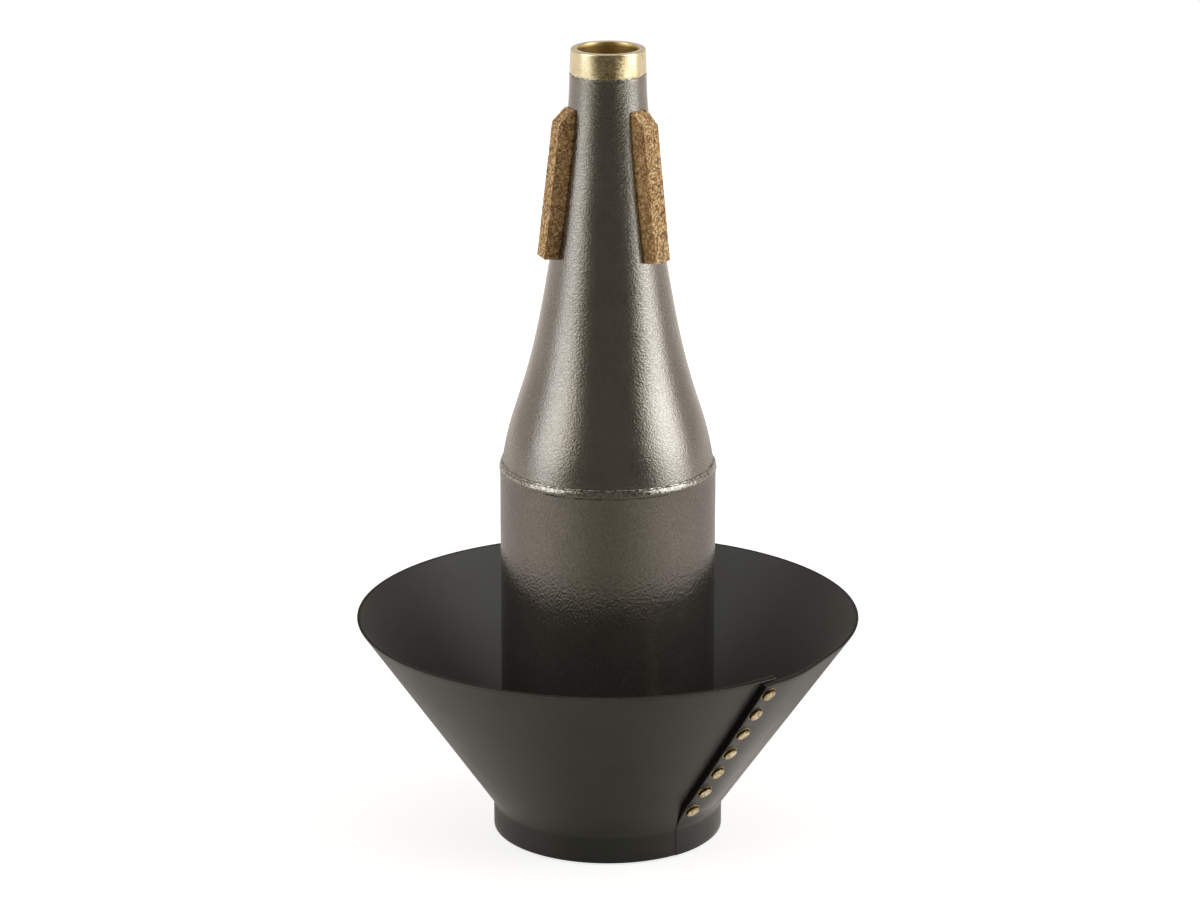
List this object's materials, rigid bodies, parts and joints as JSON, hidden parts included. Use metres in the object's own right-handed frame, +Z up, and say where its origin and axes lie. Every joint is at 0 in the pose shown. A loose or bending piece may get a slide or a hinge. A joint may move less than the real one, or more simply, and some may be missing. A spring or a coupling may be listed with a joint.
{
  "type": "trombone cup mute",
  "caption": "Bottle-shaped trombone mute with brass throat ring, cork pads and a riveted conical cup that slides and turns on its barrel.",
  "frame": {"origin": "centre of the body's closed foot, on the surface that the mute stands on", "axes": "+Z up the body's axis to the open throat; -Y is the side with the cup's seam on its right"},
  "size_m": [0.185, 0.185, 0.294],
  "materials": {
    "lacquered_body": "gloss",
    "throat_brass": "polished",
    "cork": "matte",
    "cup_fibre": "satin",
    "lining_felt": "matte",
    "rivet_brass": "satin"
  },
  "bodies": {
    "mute_body": {"throat_ferrule": "throat_brass", "cone_shell": "lacquered_body", "barrel_sleeve": "lacquered_body", "base_cap": "lacquered_body", "cork_pad_1": "cork", "cork_pad_2": "cork", "cork_pad_3": "cork"},
    "friction_ring": {"collar_lining": "lining_felt"},
    "cup": {"cup_sheet": "cup_fibre", "cup_rivet_1": "rivet_brass", "cup_rivet_2": "rivet_brass", "cup_rivet_3": "rivet_brass", "cup_rivet_4": "rivet_brass", "cup_rivet_5": "rivet_brass", "cup_rivet_6": "rivet_brass", "cup_rivet_7": "rivet_brass"}
  },
  "joints": [
    {"name": "cup_slide", "type": "slide", "parent": "mute_body", "child": "friction_ring", "axis": [0, 0, 1], "range_m": [0, 0.12]},
    {"name": "cup_turn", "type": "hinge", "parent": "friction_ring", "child": "cup", "pos_m": [0, 0, 0.005], "axis": [0, 0, 1], "continuous": true}
  ]
}
